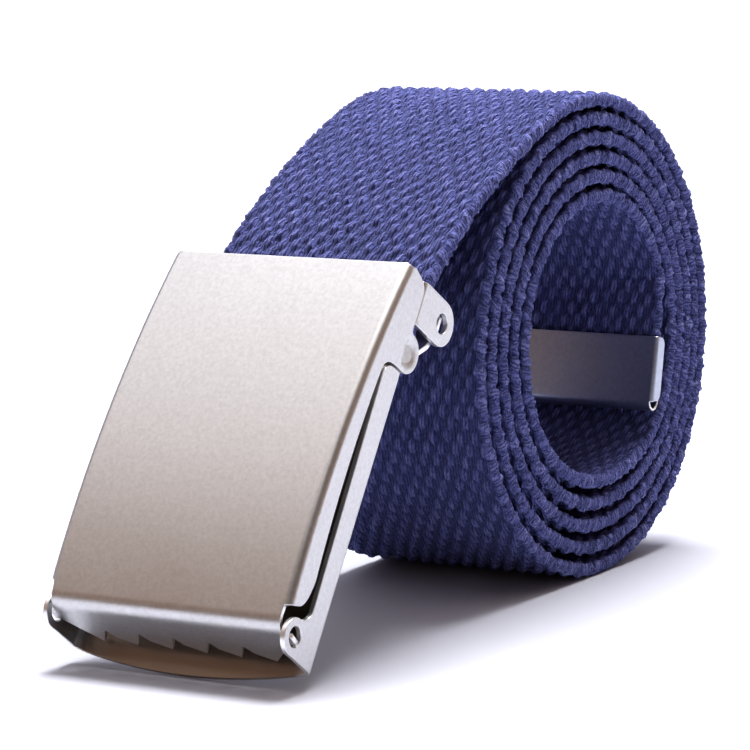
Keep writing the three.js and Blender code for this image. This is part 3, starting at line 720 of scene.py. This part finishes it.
def buckle_frame(material):
    """The base plate with its walls and four ears, cut from one sheet."""
    radius = (outer_half ** 2 + FOOT_BULGE ** 2) / (2 * FOOT_BULGE)
    swing = math.degrees(math.asin((outer_half - BEND_RADIUS) / radius))
    ear_foot = jaw_up - UPPER_EAR
    corner = wall_at + WALL_HEIGHT - WALL_CORNER
    ear_arc = arc((ear_at + JAW_DEPTH, jaw_up), UPPER_EAR, -90, 90, 17)
    right = np.vstack([
        arc((0, radius - FOOT_BULGE), radius, 270, 270 + swing, 16),
        [[wall_at + BEND_RADIUS, 0.0], [wall_at + PIVOT_HEIGHT - 1, PIVOT_UP - LOWER_EAR]],
        arc((wall_at + PIVOT_HEIGHT, PIVOT_UP), LOWER_EAR, -90, 90, 21),
        curve((wall_at + PIVOT_HEIGHT - 0.4, PIVOT_UP + LOWER_EAR), (wall_at + WALL_FOOT_HEIGHT + 0.4,
              PIVOT_UP + LOWER_EAR + 0.5), (wall_at + WALL_FOOT_HEIGHT, PIVOT_UP + LOWER_EAR + EAR_NOTCH), 7),
        arc((corner, wall_top - WALL_CORNER), WALL_CORNER, 0, 90, 9),
        [[leaf_half, wall_top + 0.1], [leaf_half, ear_foot - 0.6], [ear_half - BEND_RADIUS, ear_foot - 0.5],
         [ear_half - BEND_RADIUS, ear_foot]],
        ear_arc,
        [[ear_half, FRAME_LENGTH], [0, FRAME_LENGTH]],
    ])
    holes = []
    for sign in (1, -1):
        holes.append(hole((sign * (wall_at + PIVOT_HEIGHT), PIVOT_UP), HOLE))
        holes.append(hole((sign * (ear_at + JAW_DEPTH), jaw_up), HOLE))
    folds = np.array([ear_half, outer_half]) - BEND_RADIUS
    bends = (folds[:, None] + np.linspace(0, FOLD_LENGTH, 7)).ravel()
    walls = [-wall_at - 3.2, wall_at + 3.2]
    across = np.concatenate([-bends[::-1], [-18.7, -17.5, 0.0, 17.5, 18.7], bends, walls])
    floor = outer_half - BEND_RADIUS - 0.4

    def dull(p, lifts):
        """The channel's floor, where plating is thin: all of the front face between the folds."""
        return np.clip((floor - np.abs(p)) / 0.5, 0, 1) * (lifts > 0)

    up = np.arange(0.5, FRAME_LENGTH, 1.5)
    return sheet_piece("buckle_frame_sheet", [mirrored(right)] + holes, across, up, SHEET, place_frame,
                       "strap_and_frame", "buckle_frame", material, dull=dull)


def cover_line():
    """Side view of the cover's middle, from its upper end: a shallow arch, a roll and the flat lip."""
    t = np.linspace(0, 1, FACE_STEPS)[:, None]
    top = np.array([cover_top, COVER_TOP_HEIGHT])
    chord = np.array([COVER_FOOT, COVER_FOOT_HEIGHT]) - top
    rise = unit(np.array([chord[1], -chord[0]]))
    face = top + chord * t + rise * 4 * COVER_ARCH * t * (1 - t)
    along = unit(np.gradient(face, axis=0))
    face -= np.stack([along[:, 1], -along[:, 0]], -1) * SHEET / 2
    corner = face[-1] + along[-1] * LIP_ROLL
    end = np.array([LIP_FOOT, LIP_REACH])
    lip = unit(corner - end)
    roll = curve(face[-1], corner, corner - lip * LIP_ROLL, 30)
    line = np.vstack([face, roll[1:], (roll[-1] + (end - roll[-1]) * np.linspace(0, 1, 12)[1:, None])])
    distance = np.concatenate([[0], np.cumsum(np.linalg.norm(np.diff(line, axis=0), axis=1))])
    return line, distance, distance[FACE_STEPS - 1]


def along_line(line, distance, q):
    """Point and direction at a distance along a side view, straight on past its ends."""
    direction = unit(np.gradient(line, distance, axis=0))
    point = np.stack([np.interp(q, distance, line[:, k]) for k in (0, 1)], -1)
    way = unit(np.stack([np.interp(q, distance, direction[:, k]) for k in (0, 1)], -1))
    past = q - np.clip(q, distance[0], distance[-1])
    return point + way * past[:, None], way


def lobe_dish(side):
    """How far the flange's lobe is pressed in: down from a straight crease and up again to its rim.

    Known fault: where the lobe passes the base plate, the dish cuts about 0.3 mm into its edge.
    """
    past_crease = np.clip((LOBE_CREASE - side[:, 1]) / 0.4, 0, 1)
    from_middle = np.linalg.norm(side - np.array([lobe_up, LOBE_HEIGHT]), axis=1)
    within_rim = np.clip((LOBE_RADIUS - LOBE_RIM - from_middle) / 0.9, 0, 1)
    rising = np.clip((side[:, 1] - LOBE_HEIGHT + LOBE_RADIUS) / (LOBE_CREASE + LOBE_RADIUS), 0, 1)
    return LOBE_DISH * past_crease * within_rim * rising


def buckle_cover(material):
    """The flip-top cover: an arched face with folded flanges and a rolled, saw-toothed lip."""
    line, distance, face_length = cover_line()

    def place(p, q):
        """The arched face with its flanges folded back and the lobes' dish, and the flat lip below."""
        point, way = along_line(line, distance, q)
        out = np.stack([way[:, 1], -way[:, 0]], -1)
        x, depth, bend = fold_across(p, outer_half, FOLD)
        folded = q < face_length - 1.0
        x = np.where(folded, x, p)
        depth = np.where(folded, depth, 0)
        bend = np.where(folded, bend, 0)
        sign = np.sign(p)
        zero = np.zeros_like(x)
        side = point - out * depth[:, None]
        on_wall = bend > 1.5
        x = x - sign * lobe_dish(side) * on_wall
        up = lobe_dish(side + UP_STEP) - lobe_dish(side - UP_STEP)
        outward = lobe_dish(side + UP_STEP[::-1]) - lobe_dish(side - UP_STEP[::-1])
        slope = np.stack([up / 0.1, outward / 0.1], -1) * on_wall[:, None]
        ex = turned(np.cos(bend), out * (-sign * np.sin(bend))[:, None])
        ey = turned(zero, way)
        ez = unit(turned(sign * np.sin(bend), out * np.cos(bend)[:, None] + slope))
        return in_buckle(x, side), ex, ey, ez

    def flat_of(side):
        """Flat place (across, along) of points (up, out) on a flange."""
        near = np.argmin(np.linalg.norm(side[:, None] - line[None, :FACE_STEPS], axis=-1), axis=1)
        point, way = along_line(line, distance, distance[near])
        off = side - point
        q = distance[near] + (off * way).sum(-1)
        depth = (off[:, 0] * -way[:, 1] + off[:, 1] * way[:, 0])
        return np.stack([outer_half - BEND_RADIUS + FOLD_LENGTH - FOLD + depth, q], -1)

    lobe = lobe_up - LOBE_RADIUS
    flange = np.vstack([
        [[cover_top - 0.1, COVER_TOP_HEIGHT - 1.6]],
        curve((cover_top - 0.7, 2.6), (cover_top - 1.1, FLANGE_AT_EARS), (cover_top - 3, FLANGE_AT_EARS), 8),
        [[lobe_up + LOBE_RADIUS + 0.3, FLANGE_AT_EARS]],
        arc((lobe_up, LOBE_HEIGHT), LOBE_RADIUS, 0, -180, 25),
        curve((lobe, LOBE_HEIGHT + 2), (lobe, FLANGE_LOW - 0.2), (lobe - 2, FLANGE_LOW), 8),
        curve((FLANGE_FOOT + FLANGE_ROUND, FLANGE_LOW + 0.4), (FLANGE_FOOT + 0.4, FLANGE_LOW + 0.8),
              (FLANGE_FOOT + 0.1, COVER_FOOT_HEIGHT - 1.9), 12),
    ])
    flange = flat_of(flange)
    start = outer_half - BEND_RADIUS
    fold_end = flange[-1, 1] + 0.35
    lip_length = distance[-1]
    drop = (PIVOT_HEIGHT - LIP_REACH) / unit(line[-2] - line[-1])[1]
    tab = lip_length - drop
    teeth = []
    for k in range(TOOTH_COUNT, -1, -1):
        x = (k - TOOTH_COUNT / 2) * TOOTH_PITCH + 0.4
        teeth.append([x + 0.45 * TOOTH_PITCH, lip_length - 0.5 * TOOTH_DEPTH])
        teeth.append([x + TOOTH_SLANT, lip_length - TOOTH_DEPTH])
        teeth.append([x, lip_length])
    teeth[:2] = [[leaf_half, tab + TAB_WIDTH / 2]]
    teeth.append([-leaf_half, tab + TAB_WIDTH / 2])
    right = np.vstack([
        [[0, 0], [start + FOLD_LENGTH, 0.0]],
        flange,
        [[start + 0.9, fold_end], [start + 0.25, fold_end + 0.2], [leaf_half, face_length - 0.4]],
        [[leaf_half, tab - TAB_WIDTH / 2], [outer_half, tab - TAB_WIDTH / 2]],
        [[outer_half, tab + TAB_WIDTH / 2]],
    ])
    outline = np.vstack([right, teeth, right[::-1][:-1] * np.array([-1, 1])])
    bends = start + np.linspace(0, FOLD_LENGTH, 8)
    wall = bends[-1] + np.arange(0.4, 10.5, 0.35)
    face = np.linspace(-start + 1.5, start - 1.5, 13)
    across = np.concatenate([-wall[::-1], -bends[::-1], face, bends, wall])
    lobe_at = flat_of(np.array([[lobe_up, LOBE_HEIGHT]]))[0, 1]
    near_lobe = np.arange(lobe_at - LOBE_RADIUS, lobe_at + LOBE_RADIUS, 0.35)
    plain = np.arange(0.6, face_length - 2, 1.6)
    plain = plain[np.abs(plain - lobe_at) > LOBE_RADIUS + 0.2]
    along = np.concatenate([plain, near_lobe, np.arange(face_length - 1.6, lip_length - 1, 0.35)])
    return sheet_piece("buckle_cover_sheet", [outline], across, along, SHEET, place,
                       "cover", "buckle_cover", material, step=1.0)


def strap_jaw(material):
    """The toothed leaf between the upper ears: flat at its pivot, then bent towards the strap."""
    depth = JAW_DEPTH + 0.1
    fold = np.array([jaw_up - JAW_LEAF + 1.4, -depth])
    bite = -(2 * GAP + WEB_THICK + SHEET * 0.35)
    end = np.array([fold[0] - (depth + bite), bite])
    slope = unit(fold - end)
    line = np.vstack([[[jaw_up + 1.6, -depth]], curve(fold + [1.2, 0], fold, fold - slope * 1.2, 14), [end]])
    distance = np.concatenate([[0], np.cumsum(np.linalg.norm(np.diff(line, axis=0), axis=1))])

    def place(p, q):
        """Flat across, and bent along the side view."""
        point, way = along_line(line, distance, q)
        out = np.stack([way[:, 1], -way[:, 0]], -1)
        zero = np.zeros_like(p)
        return in_buckle(p, point), turned(zero + 1, out * 0), turned(zero, way), turned(zero, out)

    count = int(2 * jaw_half // JAW_PITCH)
    notches = []
    for k in range(count - 1, -1, -1):
        x = (k - (count - 1) / 2) * JAW_PITCH
        notches.append([x + JAW_PITCH * 0.34, distance[-1]])
        notches.append([x, distance[-1] - JAW_TOOTH])
        notches.append([x - JAW_PITCH * 0.34, distance[-1]])
    low, high = 1.6 - TAB_WIDTH / 2, 1.6 + TAB_WIDTH / 2
    tab_end = ear_half - JAW_TAB_SHORT
    right = [[0, 0], [jaw_half, 0], [jaw_half, low], [tab_end, low], [tab_end, high], [jaw_half, high],
             [jaw_half, distance[-1]]]
    outline = np.vstack([right, notches, [[-x, q] for x, q in right[:0:-1]]])
    along = np.arange(0.5, distance[-1] - 1, 0.4)
    return sheet_piece("strap_jaw_sheet", [outline], np.linspace(-17, 17, 12), along, SHEET, place,
                       "strap_and_frame", "strap_jaw", material, step=0.8)


def strap_tip(material):
    """The metal tip: a front leaf with flaps round the strap's edges, folded up behind as a back leaf."""
    mouth = coil_point(tip_start)
    way = unit(coil_point(tip_end) - mouth)
    away = np.array([-way[1], way[0]])
    half_gap = WEB_IN_TIP / 2 + GAP + TIP_SHEET / 2
    bottom = TIP_LENGTH - half_gap - TIP_SHEET / 2
    t = np.radians(np.linspace(0, 180, 25))
    turn = np.stack([bottom + half_gap * np.sin(t), -half_gap * np.cos(t)], -1)
    line = np.vstack([[[0, -half_gap]], turn, [[0.8, half_gap + 0.25]]])
    distance = np.concatenate([[0], np.cumsum(np.linalg.norm(np.diff(line, axis=0), axis=1))])
    half = WEB_WIDTH / 2 + GAP + TIP_SHEET / 2

    start = half - TIP_SIDE_FOLD
    fold_end = start + TIP_SIDE_FOLD * math.pi / 2

    def to_space(across, side):
        """Directions (across, along the tip, away from it) as (X, Y, Z)."""
        return np.column_stack([across, side[:, :1] * way + side[:, 1:] * away])

    def place(p, q):
        """Folded round the strap's end along the side view, with its flaps round the strap's edges."""
        point, direction = along_line(line, distance, q)
        out = np.stack([direction[:, 1], -direction[:, 0]], -1)
        bend = np.clip((np.abs(p) - start) / TIP_SIDE_FOLD, 0, math.pi / 2)
        depth = TIP_SIDE_FOLD * (1 - np.cos(bend)) + np.maximum(np.abs(p) - fold_end, 0)
        x = np.where(np.abs(p) < start, p, np.sign(p) * (start + TIP_SIDE_FOLD * np.sin(bend)))
        sign = np.sign(p)
        zero = np.zeros_like(x)
        middle = point - out * depth[:, None]
        base = np.column_stack([x, mouth + COIL_CENTRE + middle[:, :1] * way + middle[:, 1:] * away])
        ex = to_space(np.cos(bend), out * (-sign * np.sin(bend))[:, None])
        ez = to_space(sign * np.sin(bend), out * np.cos(bend)[:, None])
        return base, ex, to_space(zero, direction), ez

    flap = fold_end + TIP_FLAP - TIP_SIDE_FOLD
    length = distance[-1]
    right = np.vstack([
        [[0, 0], [start, 0]],
        curve((flap - 1.4, 0), (flap, 0.1), (flap, 1.6), 7),
        curve((flap, bottom - 1.4), (flap, bottom - 0.2), (flap - 1.2, bottom), 7),
        [[start + 0.15, bottom + 0.2], [start + 0.15, length - 0.6], [start - 0.5, length], [0, length]],
    ])
    bends = start + np.linspace(0, TIP_SIDE_FOLD * math.pi / 2, 6)
    across = np.concatenate([-bends[::-1], np.linspace(-17, 17, 9), bends])
    turn_end = distance[len(turn)]
    along = np.concatenate([np.arange(1, bottom, 1.4), np.linspace(bottom, turn_end, 14),
                            np.arange(turn_end + 1, length, 1.4)])
    return sheet_piece("strap_tip_sheet", [mirrored(right)], across, along, TIP_SHEET, place,
                       "strap_and_frame", "strap_tip", material, step=1.0)


# Stage, lights and camera

def stage():
    """A plain pale floor that rises far behind, as a grid with a soft sweep."""
    v, u = np.meshgrid(np.linspace(0, 1, 60), np.linspace(-1, 1, 3), indexing="ij")
    run = v * 9.0 - 2.5
    rise = np.maximum(run - 4.5, 0) ** 2 * 0.6
    vertices = np.stack([u * 6.0, run, rise], -1).reshape(-1, 3)
    mesh = bpy.data.meshes.new("floor")
    mesh.from_pydata(vertices.tolist(), [], grid_faces(60, 3, False).tolist())
    mesh.shade_smooth()
    material, tree, shader = new_material("matt_white_sweep")
    shader.inputs["Base Color"].default_value = linear("#C0C2CC")
    shader.inputs["Roughness"].default_value = 0.85
    shader.inputs["Specular IOR Level"].default_value = 0.2
    # the sweep behind glows by itself, from 0.3 m back and fully at 1.2 m
    place = add_node(tree, "ShaderNodeTexCoord")
    split = add_node(tree, "ShaderNodeSeparateXYZ", {0: place.outputs["Object"]})
    far = add_node(tree, "ShaderNodeMapRange", {
        "Value": split.outputs["Y"], "From Min": 0.3, "From Max": 1.2, "To Max": 0.8})
    shader.inputs["Emission Color"].default_value = linear("#FFFFFF")
    tree.links.new(far.outputs[0], shader.inputs["Emission Strength"])
    mesh.materials.append(material)
    floor = bpy.data.objects.new("floor", mesh)
    bpy.context.scene.collection.objects.link(floor)


def area_light(name, place, target, size, power, colour="#FFFFFF"):
    """A soft box at a place, in metres, facing a target."""
    light = bpy.data.lights.new(name, "AREA")
    light.shape = "RECTANGLE"
    light.size, light.size_y = size
    light.energy = power
    light.color = linear(colour)[:3]
    lamp = bpy.data.objects.new(name, light)
    lamp.location = place
    lamp.rotation_euler = (Vector(target) - Vector(place)).to_track_quat("-Z", "Y").to_euler()
    bpy.context.scene.collection.objects.link(lamp)


def lighting():
    """Two soft boxes overhead, and a room that is pale behind and to the left and dim and warm in front."""
    world = bpy.data.worlds.new("studio")
    bpy.context.scene.world = world
    world.use_nodes = True
    tree = world.node_tree
    tree.nodes.clear()
    direction = add_node(tree, "ShaderNodeTexCoord")
    split = add_node(tree, "ShaderNodeSeparateXYZ", {0: direction.outputs["Generated"]})
    back = add_node(tree, "ShaderNodeMath", {
        0: split.outputs["Y"], 1: 0.45, 2: 0.45}, operation="MULTIPLY_ADD")
    left = add_node(tree, "ShaderNodeMath", {
        0: split.outputs["X"], 1: -0.3, 2: back.outputs[0]}, operation="MULTIPLY_ADD")
    room = ramp(tree, left.outputs[0], ((0.1, "#5E4E44"), (0.36, "#B09078"), (0.8, "#B4B2BA")))
    sky = add_node(tree, "ShaderNodeBackground", {"Color": room, "Strength": 1.0})
    add_node(tree, "ShaderNodeOutputWorld", {"Surface": sky.outputs[0]})
    area_light("soft_box_above", (-0.4, 0.16, 1.0), (-0.4, 0.16, 0.0), (1.8, 1.8), 9.5, "#F5F9FF")
    area_light("soft_box_over_coil", (-0.08, 0.30, 1.02), (0, 0, 0.03), (0.5, 0.5), 24.0)


def camera():
    """The photo's own place and angle: 32 degrees round to the right and a little above."""
    azimuth, elevation, roll = map(math.radians, (31.92, 8.72, -1.37))
    target, distance, focal_pixels = Vector((0.0322, -0.0594, 0.0451)), 0.52, 3834.6
    right = Vector((math.cos(azimuth), math.sin(azimuth), 0))
    level = Vector((math.sin(azimuth), -math.cos(azimuth), 0)) * math.cos(elevation)
    back = level + Vector((0, 0, math.sin(elevation)))
    up = back.cross(right)
    side = right * math.cos(roll) + up * math.sin(roll)
    top = up * math.cos(roll) - right * math.sin(roll)
    data = bpy.data.cameras.new("camera")
    data.sensor_width = 36.0
    data.lens = 36.0 * focal_pixels / 750
    data.clip_start = 0.01
    view = bpy.data.objects.new("camera", data)
    turned_to = Matrix((side, top, back)).transposed().to_4x4()
    view.matrix_world = Matrix.Translation(target + back * distance) @ turned_to
    bpy.context.scene.collection.objects.link(view)
    bpy.context.scene.camera = view


camera()
stage()
lighting()
bpy.context.scene.view_settings.view_transform = "Standard"
bpy.context.scene.view_settings.gamma = 0.9

webbing(woven_cotton())
# dark and light of the grain, a painted highlight on the cut edges, and the dull inside of the channel
nickel = ("#C6C6C7", "#D4D4D5", "#F2F2F3", "#96877B")
buckle_frame(blasted_nickel("satin_nickel_frame", nickel, 0.36, 0.3))
buckle_cover(blasted_nickel("blasted_nickel_cover", nickel, 0.36, 0.5))
strap_jaw(blasted_nickel("satin_nickel_jaw", nickel, 0.38, 0.3))
# the tip's colours are darker and bluer: a painted reflection of the navy webbing beside it
tip_nickel_painted_reflection = ("#AAB0C0", "#B8BECC", "#F4F4F6", "#96877B")
strap_tip(blasted_nickel("satin_nickel_tip", tip_nickel_painted_reflection, 0.34, 0.3))
